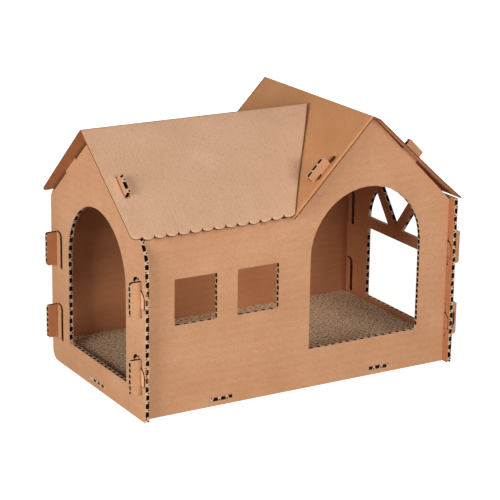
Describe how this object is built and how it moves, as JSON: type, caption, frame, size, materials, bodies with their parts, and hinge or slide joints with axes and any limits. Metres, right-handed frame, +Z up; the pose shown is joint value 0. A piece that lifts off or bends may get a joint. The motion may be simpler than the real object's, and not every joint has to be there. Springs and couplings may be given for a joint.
{
  "type": "cardboard cat house",
  "caption": "Slot-together corrugated cardboard cat house with a gabled main roof, a taller cross roof over an arched doorway, windows, a fan-light end and a floor scratching pad.",
  "frame": {"origin": "centre of the overall footprint, on the ground", "axes": "+X along the house from the gabled end to the fan-light end, +Y from the doorway front to the back, +Z up"},
  "size_m": [0.6445, 0.35, 0.4594],
  "materials": {
    "wall_board": "matt brown kraft liner, corrugated core open at every cut edge",
    "roof_board": "matt brown kraft liner on thin creased board",
    "scratch_board": "cut edges of packed corrugated strips, open cells facing up"
  },
  "bodies": {
    "house": {"left_end_panel": "wall_board", "right_end_panel": "wall_board", "front_wall": "wall_board", "back_wall": "wall_board", "floor_board": "wall_board", "cross_roof_left_leaf": "roof_board"},
    "pad": {"scratch_pad": "scratch_board"},
    "main_roof_front": {"main_roof_front_leaf": "roof_board"},
    "main_roof_rear": {"main_roof_rear_leaf": "roof_board"},
    "cross_roof_right": {"cross_roof_right_leaf": "roof_board"},
    "tongue_left_front_lower": {"lock_tongue_left_front_lower": "wall_board"},
    "tongue_left_front_upper": {"lock_tongue_left_front_upper": "wall_board"},
    "tongue_left_back_lower": {"lock_tongue_left_back_lower": "wall_board"},
    "tongue_left_back_upper": {"lock_tongue_left_back_upper": "wall_board"},
    "tongue_right_front_lower": {"lock_tongue_right_front_lower": "wall_board"},
    "tongue_right_front_upper": {"lock_tongue_right_front_upper": "wall_board"},
    "tongue_right_back_lower": {"lock_tongue_right_back_lower": "wall_board"},
    "tongue_right_back_upper": {"lock_tongue_right_back_upper": "wall_board"}
  },
  "joints": [
    {"name": "pad_lift", "type": "slide", "parent": "house", "child": "pad", "axis": [0, 0, 1], "range_m": [0, 0.24]},
    {"name": "main_roof_front_fold", "type": "hinge", "parent": "house", "child": "main_roof_front", "pos_m": [-0.1, 0, 0.449], "axis": [-1, 0, 0], "range_deg": [0, 80]},
    {"name": "main_roof_rear_fold", "type": "hinge", "parent": "house", "child": "main_roof_rear", "pos_m": [-0.1, 0, 0.449], "axis": [1, 0, 0], "range_deg": [0, 80]},
    {"name": "cross_roof_right_fold", "type": "hinge", "parent": "house", "child": "cross_roof_right", "pos_m": [0.12475, 0, 0.4595], "axis": [0, -1, 0], "range_deg": [0, 80]},
    {"name": "left_front_lower_spring", "type": "hinge", "parent": "house", "child": "tongue_left_front_lower", "pos_m": [-0.29275, -0.1397, 0.0453], "axis": [-1, 0, 0], "range_deg": [0, 5], "stiffness_Nm_per_rad": 0.05},
    {"name": "left_front_upper_spring", "type": "hinge", "parent": "house", "child": "tongue_left_front_upper", "pos_m": [-0.29275, -0.1397, 0.1753], "axis": [-1, 0, 0], "range_deg": [0, 5], "stiffness_Nm_per_rad": 0.05},
    {"name": "left_back_lower_spring", "type": "hinge", "parent": "house", "child": "tongue_left_back_lower", "pos_m": [-0.29275, 0.1397, 0.0453], "axis": [1, 0, 0], "range_deg": [0, 5], "stiffness_Nm_per_rad": 0.05},
    {"name": "left_back_upper_spring", "type": "hinge", "parent": "house", "child": "tongue_left_back_upper", "pos_m": [-0.29275, 0.1397, 0.1753], "axis": [1, 0, 0], "range_deg": [0, 5], "stiffness_Nm_per_rad": 0.05},
    {"name": "right_front_lower_spring", "type": "hinge", "parent": "house", "child": "tongue_right_front_lower", "pos_m": [0.30025, -0.1397, 0.0453], "axis": [-1, 0, 0], "range_deg": [0, 5], "stiffness_Nm_per_rad": 0.05},
    {"name": "right_front_upper_spring", "type": "hinge", "parent": "house", "child": "tongue_right_front_upper", "pos_m": [0.30025, -0.1397, 0.1753], "axis": [-1, 0, 0], "range_deg": [0, 5], "stiffness_Nm_per_rad": 0.05},
    {"name": "right_back_lower_spring", "type": "hinge", "parent": "house", "child": "tongue_right_back_lower", "pos_m": [0.30025, 0.1397, 0.0453], "axis": [1, 0, 0], "range_deg": [0, 5], "stiffness_Nm_per_rad": 0.05},
    {"name": "right_back_upper_spring", "type": "hinge", "parent": "house", "child": "tongue_right_back_upper", "pos_m": [0.30025, 0.1397, 0.1753], "axis": [1, 0, 0], "range_deg": [0, 5], "stiffness_Nm_per_rad": 0.05}
  ]
}
